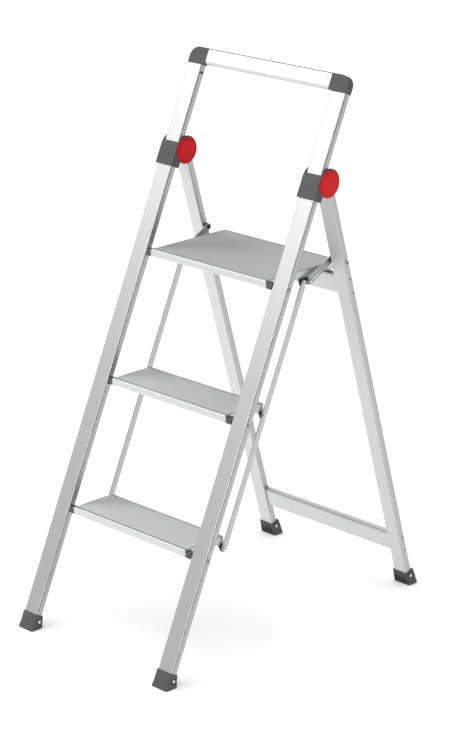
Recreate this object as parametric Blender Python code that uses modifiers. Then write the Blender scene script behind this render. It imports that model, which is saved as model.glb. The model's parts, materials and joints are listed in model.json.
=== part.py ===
"""Folding three-step stool with a hand rail: every part at its real size, in metres, +Z up.

The climbing side faces -Y and the rail runs along X. The stool stands open on the floor at Z = 0, with the
middle of its bounding box on the Z axis. Pieces are drawn in the axes of the frame or tread that carries
them: local Z runs up a stile, local Y from the climbing side to the back, and X across the stool.
"""
import math

import bmesh
import bpy
from mathutils import Vector

# Driving dimensions of the two frames
FRONT_TILT = math.radians(24.1)
REAR_TILT = math.radians(16.4)
FRAME_WIDTH = 0.4224
STILE_WIDTH = 0.0384
STILE_DEPTH = 0.015
REAR_STILE_WIDTH = 0.035
WALL = 0.0016
CORNER_RADIUS = 0.003
GAP = 0.0003
RAIL_TOP = 1.2090
CORNER_HEIGHT = 0.0345
CORNER_BEND = 0.021
CORNER_REACH = 0.008
STILE_START = 0.0065
SPIGOT_LENGTH = 0.026
SPIGOT_CLEARANCE = 0.0007

# Hinge between the frames, measured up the front stile and back from its climbing face
HINGE_UP = 1.0055
HINGE_BACK = 0.0255
HINGE_PIN_RADIUS = 0.004
CHEEK_RADIUS = 0.0285
CHEEK_WIDTH = 0.0032
COLLAR_WALL = 0.003
COLLAR_BOTTOM = 0.965
COLLAR_TOP = 1.014
COLLAR_BACK_TOP = 0.991
CAP_RADIUS = 0.0265
CAP_THICKNESS = 0.0022
KNUCKLE_RADIUS = 0.009
REAR_STILE_DROP = 0.012
REAR_FACE = 0.0005

# Treads and platform, measured from their pivots in the front stiles
FIRST_PIVOT_UP = 0.2577
PIVOT_PITCH = 0.2665
PIVOT_BACK = 0.0075
TREAD_TOP = 0.0092
TREAD_FRONT = -0.008
TREAD_DEPTH = 0.103
PLATFORM_DEPTH = 0.207
TREAD_HALF_WIDTH = 0.158
END_PLATE = 0.002
FLANGE_DEPTH = 0.015
NOSING_DEPTH = 0.0143
DECK_SHEET = 0.0026
FLANGE_SHEET = 0.0022
RIB_PITCH = 0.005
RIB_HEIGHT = 0.0007
RIB_CREST = 0.0014
PIVOT_PIN_RADIUS = 0.003
PIN_HEAD_RADIUS = 0.0042
PIN_CLEARANCE = 0.0004

# Push rods, fold arms and what they turn on
ROD_BACK = 0.091
ROD_DROP = 0.0148
ROD_WIDTH = 0.0135
ROD_THICKNESS = 0.0025
ROD_INNER_X = 0.1623
ARM_BACK = 0.10312
ARM_DROP = 0.0136
ARM_RADIUS = 0.0065
ARM_THICKNESS = 0.003
ARM_INNER_X = 0.1664
ARM_PIVOT_BELOW_HINGE = 0.1786
ARM_PIVOT_DEPTH = 0.0083
ROD_SHOULDER_RADIUS = 0.0074
ARM_SHOULDER_RADIUS = 0.0062
LINK_BOSS_RADIUS = 0.0052

# Rear crossbars, measured down the rear stile from the hinge
CROSSBAR_HEIGHT = 0.0425
CROSSBAR_DEPTH = 0.0115
CROSSBAR_FACE = 0.004
UPPER_CROSSBAR_TOP = 0.2096
LOWER_CROSSBAR_TOP = 0.8252

# Feet
FOOT_WIDTH = 0.0424
FOOT_TOE = 0.0025
FRONT_FOOT_HEEL = 0.0275
REAR_FOOT_HEEL = 0.0235

# Places that follow from the dimensions
HALF_WIDTH = FRAME_WIDTH / 2
STILE_X = HALF_WIDTH - STILE_WIDTH / 2
INNER_X = HALF_WIDTH - STILE_WIDTH
REAR_OUTER_X = STILE_X + REAR_STILE_WIDTH / 2
REAR_INNER_X = STILE_X - REAR_STILE_WIDTH / 2
PIVOT_UP = [FIRST_PIVOT_UP + PIVOT_PITCH * i for i in range(3)]
HINGE_Z = HINGE_UP * math.cos(FRONT_TILT) - HINGE_BACK * math.sin(FRONT_TILT)
HINGE_RUN = HINGE_UP * math.sin(FRONT_TILT) + HINGE_BACK * math.cos(FRONT_TILT)
REAR_FACE_RUN = HINGE_RUN + HINGE_Z * math.tan(REAR_TILT) + REAR_FACE / math.cos(REAR_TILT)
FRONT_Y = -(REAR_FACE_RUN + REAR_FOOT_HEEL - FOOT_TOE) / 2
FLOOR_BELOW_HINGE = HINGE_Z / math.cos(REAR_TILT)
REAR_FOOT_START = (HINGE_RUN - REAR_FACE_RUN, HINGE_Z)
CORNER_SCREW_UP = RAIL_TOP - CORNER_HEIGHT - 0.015
RAIL_HALF_LENGTH = INNER_X - CORNER_REACH - GAP
CROSSBAR_MIDDLE = CROSSBAR_FACE + CROSSBAR_DEPTH / 2
ARM_PIVOT = (ARM_PIVOT_DEPTH, -ARM_PIVOT_BELOW_HINGE)
ROD_PIN = (ROD_BACK, -ROD_DROP)
ARM_PIN = (ARM_BACK, -ARM_DROP)
PIN_END_X = TREAD_HALF_WIDTH - END_PLATE + GAP
ALONG_X = (math.pi / 2, 0, math.pi / 2)
SIDES = (("left", -1), ("right", 1))

# Finish of each kind of piece: colour, roughness, metallic
FINISHES = {
    "aluminium": ((0.78, 0.79, 0.80), 0.38, 0.9),
    "tread_aluminium": ((0.62, 0.63, 0.64), 0.45, 0.9),
    "steel": ((0.55, 0.56, 0.57), 0.35, 1.0),
    "grey_plastic": ((0.12, 0.12, 0.125), 0.55, 0.0),
    "black_plastic": ((0.02, 0.02, 0.022), 0.5, 0.0),
    "rubber": ((0.09, 0.09, 0.095), 0.7, 0.0),
    "red_plastic": ((0.62, 0.02, 0.03), 0.35, 0.0),
}

parts = None
cutters = None


# ---------------------------------------------------------------- outlines

def arc(centre, radius, start, end, steps):
    """Points on an arc, in degrees, both ends included."""
    points = []
    for i in range(steps + 1):
        angle = math.radians(start + (end - start) * i / steps)
        points.append((centre[0] + radius * math.cos(angle), centre[1] + radius * math.sin(angle)))
    return points


def circle(centre, radius, steps=18):
    return arc(centre, radius, 0, 360, steps)[:-1]


def rounded_box(centre, width, height, radius, steps=3):
    """A rectangle with round corners, counter-clockwise from its lower right corner."""
    across = width / 2 - radius
    up = height / 2 - radius
    points = []
    for (sx, sy), start in zip(((1, -1), (1, 1), (-1, 1), (-1, -1)), (-90, 0, 90, 180)):
        corner = (centre[0] + sx * across, centre[1] + sy * up)
        points += arc(corner, radius, start, start + 90, steps)
    return points


def link_outline(first, second, first_radius, second_radius, steps=10):
    """A flat link: two round ends joined by their common tangents."""
    span = Vector(second) - Vector(first)
    heading = math.degrees(math.atan2(span.y, span.x))
    lean = math.degrees(math.acos((first_radius - second_radius) / span.length))
    points = arc(second, second_radius, heading - lean, heading + lean, steps)
    points += arc(first, first_radius, heading + lean, heading + 360 - lean, steps)
    return points


def tube_section(width, depth):
    """A stile's closed section, with its hollow."""
    outer = rounded_box((0, 0), width, depth, CORNER_RADIUS)
    inner = rounded_box((0, 0), width - 2 * WALL, depth - 2 * WALL, CORNER_RADIUS - WALL, 2)
    return [outer, inner]


# ---------------------------------------------------------------- building blocks

def axes(name, location, tilt=0.0):
    """An empty that carries the pieces of one moving body."""
    empty = bpy.data.objects.new(name, None)
    empty.location = location
    empty.rotation_euler = (tilt, 0, 0)
    parts.objects.link(empty)
    return empty


def give_material(obj, finish):
    """A Principled material of this object's own."""
    colour, roughness, metallic = FINISHES[finish]
    material = bpy.data.materials.new(obj.name)
    material.use_nodes = True
    shader = material.node_tree.nodes["Principled BSDF"]
    shader.inputs["Base Color"].default_value = (*colour, 1)
    shader.inputs["Roughness"].default_value = roughness
    shader.inputs["Metallic"].default_value = metallic
    material.diffuse_color = (*colour, 1)
    obj.data.materials.append(material)


def outline_solid(name, loops, thickness, carrier, location, rotation=(0, 0, 0), finish="aluminium"):
    """A flat outline with its holes, as a filled 2D curve of the given thickness about its own plane."""
    curve = bpy.data.curves.new(name, "CURVE")
    curve.dimensions = "2D"
    curve.fill_mode = "BOTH"
    curve.extrude = thickness / 2
    for loop in loops:
        spline = curve.splines.new("POLY")
        spline.points.add(len(loop) - 1)
        for point, (x, y) in zip(spline.points, loop):
            point.co = (x, y, 0, 1)
        spline.use_cyclic_u = True
    obj = bpy.data.objects.new(name, curve)
    parts.objects.link(obj)
    obj.parent = carrier
    obj.location = location
    obj.rotation_euler = rotation
    give_material(obj, finish)
    return obj


def side_plate(name, loops, x_start, x_end, carrier, finish="aluminium"):
    """An outline in the carrier's YZ plane that fills the space between two places along X."""
    middle = (x_start + x_end) / 2
    return outline_solid(name, loops, abs(x_end - x_start), carrier, (middle, 0, 0), ALONG_X, finish)


def as_mesh(obj):
    """The curve as a welded mesh object, so that it can be cut or joined."""
    bpy.context.view_layer.update()
    evaluated = obj.evaluated_get(bpy.context.evaluated_depsgraph_get())
    mesh = bpy.data.meshes.new_from_object(evaluated)
    work = bmesh.new()
    work.from_mesh(mesh)
    bmesh.ops.remove_doubles(work, verts=work.verts, dist=1e-6)
    work.to_mesh(mesh)
    work.free()
    name, carrier = obj.name, obj.parent
    location, rotation = obj.location.copy(), obj.rotation_euler.copy()
    bpy.data.objects.remove(obj)
    solid = bpy.data.objects.new(name, mesh)
    parts.objects.link(solid)
    solid.parent = carrier
    solid.location = location
    solid.rotation_euler = rotation
    mesh.shade_smooth()
    mesh.set_sharp_from_angle(angle=math.radians(32))
    return solid


def boolean(obj, other, operation):
    """Cut another solid from an object, or join it, and keep that solid with the cutters."""
    for collection in list(other.users_collection):
        collection.objects.unlink(other)
    cutters.objects.link(other)
    other.hide_render = True
    other.display_type = "WIRE"
    modifier = obj.modifiers.new(operation.lower(), "BOOLEAN")
    modifier.operation = operation
    modifier.solver = "EXACT"
    modifier.object = other


def box(name, size, carrier, location):
    """A plain box, to be cut from a piece or joined to it."""
    mesh = bpy.data.meshes.new(name)
    work = bmesh.new()
    bmesh.ops.create_cube(work, size=1)
    bmesh.ops.scale(work, vec=size, verts=work.verts)
    work.to_mesh(mesh)
    work.free()
    obj = bpy.data.objects.new(name, mesh)
    obj.parent = carrier
    obj.location = location
    return obj


def rod_along_x(name, radius, x_start, x_end, place, carrier):
    """A plain round bar along X, at a (Y, Z) place in the carrier's axes, for cutting or joining."""
    mesh = bpy.data.meshes.new(name)
    work = bmesh.new()
    depth = abs(x_end - x_start)
    bmesh.ops.create_cone(work, cap_ends=True, segments=18, radius1=radius, radius2=radius, depth=depth)
    work.to_mesh(mesh)
    work.free()
    obj = bpy.data.objects.new(name, mesh)
    obj.parent = carrier
    obj.location = ((x_start + x_end) / 2, *place)
    obj.rotation_euler = (0, math.pi / 2, 0)
    return obj


def drill(obj, name, radius, x_start, x_end, place, carrier):
    """Cut a round hole along X through an object."""
    boolean(obj, rod_along_x(name, radius, x_start, x_end, place, carrier), "DIFFERENCE")


def turned(name, profile, side, carrier, place, finish, steps=20):
    """A turned piece on an axis along X, from a profile of (radius, X) that runs from its outer end inwards.

    The profile is for the right side of the stool. Side -1 makes its mirror image on the left side.
    """
    if side < 0:
        profile = [(radius, -x) for radius, x in reversed(profile)]
    mesh = bpy.data.meshes.new(name)
    work = bmesh.new()
    rim = [work.verts.new((radius, 0, x)) for radius, x in profile]
    for pair in zip(rim, rim[1:]):
        work.edges.new(pair)
    work.to_mesh(mesh)
    work.free()
    obj = bpy.data.objects.new(name, mesh)
    parts.objects.link(obj)
    obj.parent = carrier
    obj.location = (0, *place)
    obj.rotation_euler = (0, math.pi / 2, 0)
    screw = obj.modifiers.new("turn", "SCREW")
    screw.steps = steps
    screw.render_steps = steps
    screw.use_merge_vertices = True
    screw.merge_threshold = 1e-5
    give_material(obj, finish)
    return obj


def turned_pair(name, profile, carrier, place, finish, steps=20):
    """The same turned piece on both sides of the stool, each its own object."""
    for side_name, side in SIDES:
        turned(f"{name}_{side_name}", profile, side, carrier, place, finish, steps=steps)


def pin_profile(outer, head_depth, head_radius, shank_radius, inner):
    """A pin with a flat head at its outer end, as (radius, X)."""
    neck = outer - head_depth
    return [(0, outer), (head_radius * 0.8, outer), (head_radius, outer - head_depth * 0.4),
            (head_radius, neck), (shank_radius, neck), (shank_radius, inner), (0, inner)]


# ---------------------------------------------------------------- front frame

def make_front_stile(name, side, front):
    """A closed tube with holes for the three pivot pins and the corner screw."""
    length = RAIL_TOP - CORNER_HEIGHT - STILE_START
    middle = (side * STILE_X, STILE_DEPTH / 2, STILE_START + length / 2)
    stile = as_mesh(outline_solid(name, tube_section(STILE_WIDTH, STILE_DEPTH), length, front, middle))
    for i, up in enumerate(PIVOT_UP):
        place = (PIVOT_BACK, up)
        drill(stile, f"{name}_pivot_{i}", PIVOT_PIN_RADIUS + PIN_CLEARANCE, side * 0.15, side * 0.25, place,
              front)
    inner = (side * (INNER_X - 0.006), side * (INNER_X + 0.006))
    drill(stile, f"{name}_corner", 0.0022, *inner, (PIVOT_BACK, CORNER_SCREW_UP), front)


def make_top_rail(front):
    """The hand rail: the stile's section laid along X, with a rounder underside for the fingers."""
    height = CORNER_HEIGHT - 0.002
    soft = 0.006
    outer = rail_section(height, STILE_DEPTH, soft, CORNER_RADIUS)
    inner = rail_section(height - 2 * WALL, STILE_DEPTH - 2 * WALL, soft - WALL, CORNER_RADIUS - WALL)
    rail = outline_solid("top_rail", [outer, inner], 2 * RAIL_HALF_LENGTH, front,
                         (0, STILE_DEPTH / 2, RAIL_TOP - height / 2), ALONG_X)
    return rail


def rail_section(height, depth, bottom_radius, top_radius):
    points = []
    corners = ((1, -1, bottom_radius), (1, 1, top_radius), (-1, 1, top_radius), (-1, -1, bottom_radius))
    for (sx, sy, radius), start in zip(corners, (-90, 0, 90, 180)):
        corner = (sx * (depth / 2 - radius), sy * (height / 2 - radius))
        points += arc(corner, radius, start, start + 90, 4)
    return points


def make_top_corner(name, side, front):
    """An elbow flush with stile and rail, with a spigot inside each of them."""
    low = RAIL_TOP - CORNER_HEIGHT + GAP
    outer_x = HALF_WIDTH + 0.0005
    rail_x = INNER_X - CORNER_REACH
    rail_low = RAIL_TOP - CORNER_HEIGHT + 0.002
    bend = (outer_x - CORNER_BEND, RAIL_TOP - CORNER_BEND)
    loop = [(INNER_X, low), (outer_x, low)] + arc(bend, CORNER_BEND, 0, 90, 8)
    loop += [(rail_x, RAIL_TOP), (rail_x, rail_low), (INNER_X - 0.0005, rail_low)]
    loop = [(side * x, z) for x, z in loop]
    corner = as_mesh(outline_solid(name, [loop], STILE_DEPTH + 0.001, front, (0, STILE_DEPTH / 2, 0),
                                   (math.pi / 2, 0, 0), "grey_plastic"))
    inside = WALL + SPIGOT_CLEARANCE
    depth = STILE_DEPTH - 2 * inside
    stile_size = (STILE_WIDTH - 2 * inside, depth, SPIGOT_LENGTH + 0.004)
    stile_place = (side * STILE_X, STILE_DEPTH / 2, low - SPIGOT_LENGTH / 2 + 0.002)
    boolean(corner, box(f"{name}_stile_spigot", stile_size, front, stile_place), "UNION")
    rail_height = CORNER_HEIGHT - 0.002
    rail_size = (SPIGOT_LENGTH + 0.004, depth, rail_height - 2 * inside - 0.005)
    rail_place = (side * (rail_x - SPIGOT_LENGTH / 2 + 0.002), STILE_DEPTH / 2,
                  RAIL_TOP - rail_height / 2 + 0.001)
    boolean(corner, box(f"{name}_rail_spigot", rail_size, front, rail_place), "UNION")
    drill(corner, f"{name}_screw", 0.0019, side * (INNER_X - 0.001), side * (INNER_X + 0.0135),
          (PIVOT_BACK, CORNER_SCREW_UP), front)


def make_hinge_collar(name, side, front):
    """The plastic collar that clasps the front stile and holds the rear stile's eye between two cheeks."""
    bottom_back = STILE_DEPTH + GAP + COLLAR_WALL
    reach = math.degrees(math.acos((HINGE_BACK - bottom_back) / CHEEK_RADIUS))
    loop = [(-COLLAR_WALL, COLLAR_BOTTOM), (bottom_back, COLLAR_BOTTOM)]
    loop += arc((HINGE_BACK, HINGE_UP), CHEEK_RADIUS, reach - 180, 180, 28)
    width = STILE_WIDTH + 2 * (GAP + CHEEK_WIDTH)
    collar = as_mesh(outline_solid(name, [loop], width, front, (side * STILE_X, 0, 0), ALONG_X,
                                   "grey_plastic"))
    slot = STILE_WIDTH + 2 * GAP
    tall = 0.2
    deep = 0.1
    channel = (slot, STILE_DEPTH + 2 * GAP, tall)
    place = (side * STILE_X, STILE_DEPTH / 2, HINGE_UP)
    boolean(collar, box(f"{name}_channel", channel, front, place), "DIFFERENCE")
    place = (side * STILE_X, bottom_back + deep / 2, HINGE_UP)
    boolean(collar, box(f"{name}_fork", (slot, deep, tall), front, place), "DIFFERENCE")
    place = (side * STILE_X, deep / 2, COLLAR_BACK_TOP + tall / 2)
    boolean(collar, box(f"{name}_eye_room", (slot, deep, tall), front, place), "DIFFERENCE")
    place = (side * STILE_X, -deep / 2 + 0.001, COLLAR_TOP + tall / 2)
    boolean(collar, box(f"{name}_front_edge", (slot, deep, tall), front, place), "DIFFERENCE")
    drill(collar, f"{name}_bore", HINGE_PIN_RADIUS + GAP, side * 0.15, side * 0.25, (HINGE_BACK, HINGE_UP),
          front)


def make_hinge_caps(side_name, side, front):
    """The two domed red discs that cover the hinge pin's ends."""
    for where, way in (("outer", 1), ("inner", -1)):
        face = STILE_WIDTH / 2 + GAP + CHEEK_WIDTH + GAP
        crown = face + CAP_THICKNESS
        edge = CAP_RADIUS
        profile = [(0, crown), (edge * 0.6, crown - 0.0002), (edge - 0.0016, crown - 0.0006),
                   (edge, face + 0.0008), (edge, face), (0, face)]
        cap = turned(f"hinge_cap_{side_name}_{where}", profile, side * way, front, (HINGE_BACK, HINGE_UP),
                     "red_plastic", steps=32)
        cap.location.x = side * STILE_X


def make_front_foot(name, side, front):
    """A rubber shoe with a flat sole, pushed on to the stile."""
    loop = [(-FOOT_TOE, 0), (FRONT_FOOT_HEEL, 0), (0.0305, 0.0245), (0.0125, 0.0325)]
    foot = as_mesh(foot_block(name, turned_points(loop, FRONT_TILT), side, front))
    size = (STILE_WIDTH + 2 * GAP, STILE_DEPTH + 2 * GAP, 0.1)
    place = (side * STILE_X, STILE_DEPTH / 2, STILE_START - GAP + 0.05)
    boolean(foot, box(f"{name}_socket", size, front, place), "DIFFERENCE")


def foot_block(name, loop, side, carrier):
    middle = (side * (HALF_WIDTH - STILE_WIDTH / 2), 0, 0)
    return outline_solid(name, [loop], FOOT_WIDTH, carrier, middle, ALONG_X, "rubber")


def turned_points(points, angle, start=(0, 0)):
    """Upright (Y, Z) points seen in axes that are tilted by an angle and start at a given point."""
    seen = []
    for y, z in points:
        dy = y - start[0]
        dz = z - start[1]
        seen.append((dy * math.cos(angle) - dz * math.sin(angle),
                     dy * math.sin(angle) + dz * math.cos(angle)))
    return seen


def make_front_frame(front):
    make_top_rail(front)
    for side_name, side in SIDES:
        make_front_stile(f"front_stile_{side_name}", side, front)
        make_top_corner(f"top_corner_{side_name}", side, front)
        make_hinge_collar(f"hinge_collar_{side_name}", side, front)
        make_hinge_caps(side_name, side, front)
        make_front_foot(f"front_foot_{side_name}", side, front)
    pin_half = STILE_WIDTH / 2 + GAP + CHEEK_WIDTH
    pin = [(0, STILE_X + pin_half), (HINGE_PIN_RADIUS, STILE_X + pin_half),
           (HINGE_PIN_RADIUS, STILE_X - pin_half), (0, STILE_X - pin_half)]
    turned_pair("hinge_pin", pin, front, (HINGE_BACK, HINGE_UP), "steel")
    screw = [(0, INNER_X + 0.013), (0.0016, INNER_X + 0.013), (0.0016, INNER_X - 0.0003),
             (0.003, INNER_X - 0.0003), (0.0026, INNER_X - 0.0012), (0, INNER_X - 0.0012)]
    turned_pair("top_corner_screw", screw, front, (PIVOT_BACK, CORNER_SCREW_UP), "steel", steps=16)


# ---------------------------------------------------------------- rear frame

def make_rear_stile(name, side, rear):
    """A tube with a hole for the fold arm's rivet."""
    length = FLOOR_BELOW_HINGE - REAR_STILE_DROP - STILE_START
    middle = (side * STILE_X, REAR_FACE + STILE_DEPTH / 2, -REAR_STILE_DROP - length / 2)
    stile = as_mesh(outline_solid(name, tube_section(REAR_STILE_WIDTH, STILE_DEPTH), length, rear, middle))
    drill(stile, f"{name}_arm", PIVOT_PIN_RADIUS + PIN_CLEARANCE, side * 0.15, side * 0.25, ARM_PIVOT, rear)


def make_rear_knuckle(name, side, rear):
    """The plastic eye on top of a rear stile, which turns on the hinge pin between the collar's cheeks."""
    low = GAP - REAR_STILE_DROP
    loop = [(REAR_FACE, low), (REAR_FACE + STILE_DEPTH, low)]
    loop += arc((0, 0), KNUCKLE_RADIUS, 15, 215, 14)
    knuckle = as_mesh(outline_solid(name, [loop], REAR_STILE_WIDTH, rear, (side * STILE_X, 0, 0), ALONG_X,
                                    "grey_plastic"))
    inside = WALL + SPIGOT_CLEARANCE
    size = (REAR_STILE_WIDTH - 2 * inside, STILE_DEPTH - 2 * inside, SPIGOT_LENGTH)
    place = (side * STILE_X, REAR_FACE + STILE_DEPTH / 2, low + 0.002 - SPIGOT_LENGTH / 2)
    boolean(knuckle, box(f"{name}_spigot", size, rear, place), "UNION")
    drill(knuckle, f"{name}_bore", HINGE_PIN_RADIUS + GAP, side * 0.15, side * 0.25, (0, 0), rear)


def make_crossbar(name, top, rear):
    """A flat hollow bar between the rear stiles."""
    centre = (CROSSBAR_MIDDLE, -top - CROSSBAR_HEIGHT / 2)
    outer = rounded_box(centre, CROSSBAR_DEPTH, CROSSBAR_HEIGHT, 0.002)
    inner = rounded_box(centre, CROSSBAR_DEPTH - 2 * WALL, CROSSBAR_HEIGHT - 2 * WALL, 0.0008, 1)
    side_plate(name, [outer, inner], GAP - REAR_INNER_X, REAR_INNER_X - GAP, rear)


def make_rear_foot(name, side, rear):
    """A rubber shoe for a rear stile, with its heel further back than the stile."""
    loop = [(-0.003, 0), (REAR_FOOT_HEEL, 0), (0.0105, 0.0340), (-0.0112, 0.0285)]
    foot = as_mesh(foot_block(name, turned_points(loop, -REAR_TILT, REAR_FOOT_START), side, rear))
    size = (REAR_STILE_WIDTH + 2 * GAP, STILE_DEPTH + 2 * GAP, 0.1)
    bottom = STILE_START - GAP - FLOOR_BELOW_HINGE
    place = (side * STILE_X, REAR_FACE + STILE_DEPTH / 2, bottom + 0.05)
    boolean(foot, box(f"{name}_socket", size, rear, place), "DIFFERENCE")


def make_arm_rivets(rear):
    """The shouldered rivet that carries each fold arm: its heads lie outside the stile and inside the arm."""
    neck = REAR_OUTER_X + GAP
    outer = neck + 0.0012
    shoulder = REAR_INNER_X - GAP
    step = ARM_INNER_X + ARM_THICKNESS + GAP
    inner_neck = ARM_INNER_X - GAP
    inner = inner_neck - 0.0012
    profile = [(0, outer), (PIN_HEAD_RADIUS * 0.8, outer), (PIN_HEAD_RADIUS, outer - 0.0005),
               (PIN_HEAD_RADIUS, neck), (PIVOT_PIN_RADIUS, neck), (PIVOT_PIN_RADIUS, shoulder),
               (ARM_SHOULDER_RADIUS, shoulder), (ARM_SHOULDER_RADIUS, step), (PIVOT_PIN_RADIUS, step),
               (PIVOT_PIN_RADIUS, inner_neck), (PIN_HEAD_RADIUS, inner_neck), (PIN_HEAD_RADIUS, inner),
               (0, inner)]
    turned_pair("fold_arm_rivet", profile, rear, ARM_PIVOT, "steel")


def make_rear_frame(rear):
    for side_name, side in SIDES:
        make_rear_stile(f"rear_stile_{side_name}", side, rear)
        make_rear_knuckle(f"rear_knuckle_{side_name}", side, rear)
        make_rear_foot(f"rear_foot_{side_name}", side, rear)
    for which, top in (("upper", UPPER_CROSSBAR_TOP), ("lower", LOWER_CROSSBAR_TOP)):
        make_crossbar(f"{which}_crossbar", top, rear)
    make_arm_rivets(rear)


# ---------------------------------------------------------------- treads and platform

def tread_section(depth, flange_places):
    """A tread's extruded section: nosing, ribbed top, rear lip and flanges underneath."""
    top = TREAD_TOP
    front = TREAD_FRONT
    rear = front + depth
    under = top - DECK_SHEET
    points = [(front, top - NOSING_DEPTH), (front, top - 0.0022), (front + 0.0008, top - 0.0006),
              (front + 0.0025, top), (front + 0.007, top), (front + 0.0072, top - 0.0013),
              (front + 0.0082, top - 0.0013), (front + 0.0084, top - RIB_HEIGHT)]
    rib_count = int((depth - 0.014) / RIB_PITCH)
    for i in range(rib_count):
        middle = front + 0.0115 + RIB_PITCH * i
        points += [(middle - RIB_CREST, top - RIB_HEIGHT), (middle - RIB_CREST / 2, top),
                   (middle + RIB_CREST / 2, top), (middle + RIB_CREST, top - RIB_HEIGHT)]
    points += [(rear - 0.0012, top - RIB_HEIGHT), (rear, top - 0.0018), (rear, top - FLANGE_DEPTH)]
    points += [(rear - FLANGE_SHEET, top - FLANGE_DEPTH), (rear - FLANGE_SHEET, under)]
    for place in sorted(flange_places, reverse=True):
        points += [(place + FLANGE_SHEET / 2, under), (place + FLANGE_SHEET / 2, top - FLANGE_DEPTH),
                   (place - FLANGE_SHEET / 2, top - FLANGE_DEPTH), (place - FLANGE_SHEET / 2, under)]
    points += [(front + DECK_SHEET, under), (front + DECK_SHEET, top - NOSING_DEPTH)]
    return points


def end_plate_outline(depth, lobes):
    """A tread's end plate: a straight strip with a lobe below it for each pin in the list."""
    top = TREAD_TOP - 0.001
    low = TREAD_TOP - FLANGE_DEPTH
    front = TREAD_FRONT
    rear = TREAD_FRONT + depth - 0.001
    first, first_radius = lobes[0]
    last, last_radius = lobes[-1]
    points = [(front, low), (front, top), (rear, top), (rear, low)]
    if last[0] + 0.014 < rear:
        points.append((last[0] + 0.014, low))
    points += arc(last, last_radius, 10, -90, 6)
    points += arc(first, first_radius, -90, -190, 6)
    points.append((first[0] - 0.014, low))
    return points


def make_end_plates(name, depth, lobes, carrier):
    """The plate on each end of a tread, bored for the pivot pin and the push rod's pin."""
    outline = end_plate_outline(depth, lobes)
    bores = [circle(place, PIVOT_PIN_RADIUS + GAP) for place in ((0, 0), ROD_PIN)]
    for side_name, side in SIDES:
        side_plate(f"{name}_end_plate_{side_name}", [outline, *bores], side * (TREAD_HALF_WIDTH - END_PLATE),
                   side * TREAD_HALF_WIDTH, carrier, "tread_aluminium")


def make_pivot_caps(name, carrier):
    """The dark block at each front corner, between end plate and stile, with the pivot pin through it.

    It stops short of the push rod, which passes just below it when the stool is folded flat.
    """
    outline = rounded_box((0.0008, -0.0008), 0.0174, 0.0132, 0.004, 4)
    bore = circle((0, 0), PIVOT_PIN_RADIUS + GAP)
    for side_name, side in SIDES:
        side_plate(f"{name}_pivot_cap_{side_name}", [outline, bore], side * (TREAD_HALF_WIDTH + GAP),
                   side * (INNER_X - 2 * GAP), carrier, "grey_plastic")


def make_tread(name, depth, flange_places, lobes, carrier):
    """One extruded tread with its end plates, pivot caps and pivot pins."""
    half_length = TREAD_HALF_WIDTH - END_PLATE - GAP
    side_plate(name, [tread_section(depth, flange_places)], -half_length, half_length, carrier,
               "tread_aluminium")
    make_end_plates(name, depth, lobes, carrier)
    make_pivot_caps(name, carrier)
    pivot = pin_profile(HALF_WIDTH + GAP + 0.001, 0.001, PIN_HEAD_RADIUS, PIVOT_PIN_RADIUS, PIN_END_X)
    turned_pair(f"{name}_pivot_pin", pivot, carrier, (0, 0), "steel")


def make_shouldered_rod_pins(name, carrier):
    """A tread's push rod pin, with a shoulder that keeps the rod clear of the end plate."""
    head = ROD_INNER_X + ROD_THICKNESS + GAP
    outer = head + 0.0011
    step = ROD_INNER_X - GAP
    shoulder = TREAD_HALF_WIDTH + GAP
    profile = [(0, outer), (PIN_HEAD_RADIUS * 0.8, outer), (PIN_HEAD_RADIUS, outer - 0.0004),
               (PIN_HEAD_RADIUS, head), (PIVOT_PIN_RADIUS, head), (PIVOT_PIN_RADIUS, step),
               (ROD_SHOULDER_RADIUS, step), (ROD_SHOULDER_RADIUS, shoulder), (PIVOT_PIN_RADIUS, shoulder),
               (PIVOT_PIN_RADIUS, PIN_END_X), (0, PIN_END_X)]
    turned_pair(f"{name}_rod_pin", profile, carrier, ROD_PIN, "black_plastic", steps=24)


def make_plain_rod_pins(name, carrier):
    """The platform's push rod pin, which runs in the link block."""
    head = ROD_INNER_X + ROD_THICKNESS + GAP
    profile = pin_profile(head + 0.0011, 0.0011, PIN_HEAD_RADIUS, PIVOT_PIN_RADIUS, PIN_END_X)
    turned_pair(f"{name}_rod_pin", profile, carrier, ROD_PIN, "steel")


def make_link_blocks(name, carrier):
    """The platform's black block for the push rod's pin, with a boss that reaches out to the fold arm."""
    outline = link_outline(ROD_PIN, ARM_PIN, 0.0085, 0.0066)
    bore = circle(ROD_PIN, PIVOT_PIN_RADIUS + GAP)
    boss_end = ARM_INNER_X - 0.0004
    for side_name, side in SIDES:
        block = as_mesh(side_plate(f"{name}_link_block_{side_name}", [outline, bore],
                                   side * (TREAD_HALF_WIDTH + GAP), side * (ROD_INNER_X - GAP), carrier,
                                   "black_plastic"))
        boss = rod_along_x(f"{block.name}_boss", LINK_BOSS_RADIUS, side * (ROD_INNER_X - 0.002),
                           side * boss_end,
                           ARM_PIN, carrier)
        boolean(block, boss, "UNION")


def make_treads(carriers):
    """The two treads and the platform, each on its own axes."""
    rod_lobe = (ROD_PIN, ROD_SHOULDER_RADIUS)
    for name, carrier in zip(("bottom_tread", "middle_tread"), carriers):
        make_tread(name, TREAD_DEPTH, [0.040], [rod_lobe], carrier)
        make_shouldered_rod_pins(name, carrier)
    pivot_run = PIVOT_UP[2] * math.sin(FRONT_TILT) + PIVOT_BACK * math.cos(FRONT_TILT)
    rest = HINGE_RUN + 0.0135 * math.cos(REAR_TILT) + UPPER_CROSSBAR_TOP * math.sin(REAR_TILT) - pivot_run
    make_tread("platform", PLATFORM_DEPTH, [0.045, 0.100, rest], [rod_lobe, (ARM_PIN, 0.0066)], carriers[2])
    make_plain_rod_pins("platform", carriers[2])
    make_link_blocks("platform", carriers[2])


# ---------------------------------------------------------------- push rods and fold arms

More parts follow.
